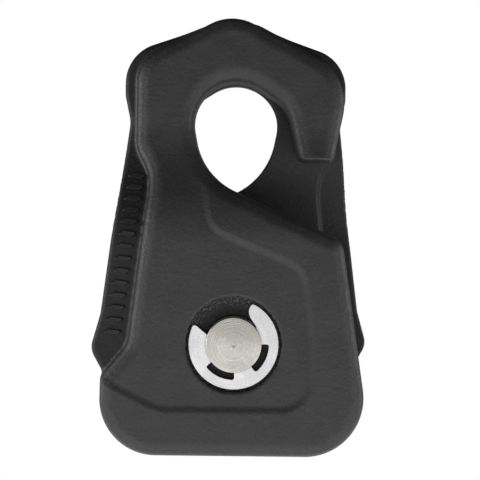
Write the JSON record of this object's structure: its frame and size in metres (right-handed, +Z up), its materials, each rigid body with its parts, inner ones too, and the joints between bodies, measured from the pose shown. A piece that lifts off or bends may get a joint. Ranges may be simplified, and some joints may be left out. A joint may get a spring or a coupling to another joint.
{
  "type": "single sheave snatch block",
  "caption": "Snatch block with two forged hook-shaped side plates swinging on one clipped axle pin, a grooved rope sheave between them and a shackle eye at the top.",
  "frame": {"origin": "on the ground under the axle, midway between the two plates, with the block standing on its lower edges", "axes": "+Z up towards the shackle eye, +X towards the front hook's throat, -Y out of the front plate, along the axle"},
  "size_m": [0.1284, 0.0504, 0.2005],
  "materials": {
    "coated_forging": "satin black powder coat with a fine grain",
    "turned_steel": "lathe-turned, bare",
    "spring_steel": "bright zinc, smooth",
    "sheave_steel": "turned and zinc plated",
    "bronze": "sintered bronze",
    "washer_steel": "ground flat"
  },
  "bodies": {
    "rear_plate": {"rear_plate": "coated_forging"},
    "front_plate": {"front_plate": "coated_forging"},
    "sheave": {"sheave": "sheave_steel", "bushing": "bronze"},
    "axle": {"axle_pin": "turned_steel", "front_clip": "spring_steel", "rear_clip": "spring_steel"},
    "front_washer": {"front_thrust_washer": "washer_steel"},
    "rear_washer": {"rear_thrust_washer": "washer_steel"}
  },
  "joints": [
    {"name": "front_plate_swing", "type": "hinge", "parent": "rear_plate", "child": "front_plate", "pos_m": [0, 0, 0.051], "axis": [0, -1, 0], "continuous": true},
    {"name": "sheave_spin", "type": "hinge", "parent": "rear_plate", "child": "sheave", "pos_m": [0, 0, 0.051], "axis": [0, -1, 0], "continuous": true},
    {"name": "axle_turn", "type": "hinge", "parent": "rear_plate", "child": "axle", "pos_m": [0, 0, 0.051], "axis": [0, -1, 0], "continuous": true},
    {"name": "front_washer_turn", "type": "hinge", "parent": "rear_plate", "child": "front_washer", "pos_m": [0, 0, 0.051], "axis": [0, -1, 0], "continuous": true},
    {"name": "rear_washer_turn", "type": "hinge", "parent": "rear_plate", "child": "rear_washer", "pos_m": [0, 0, 0.051], "axis": [0, -1, 0], "continuous": true}
  ]
}
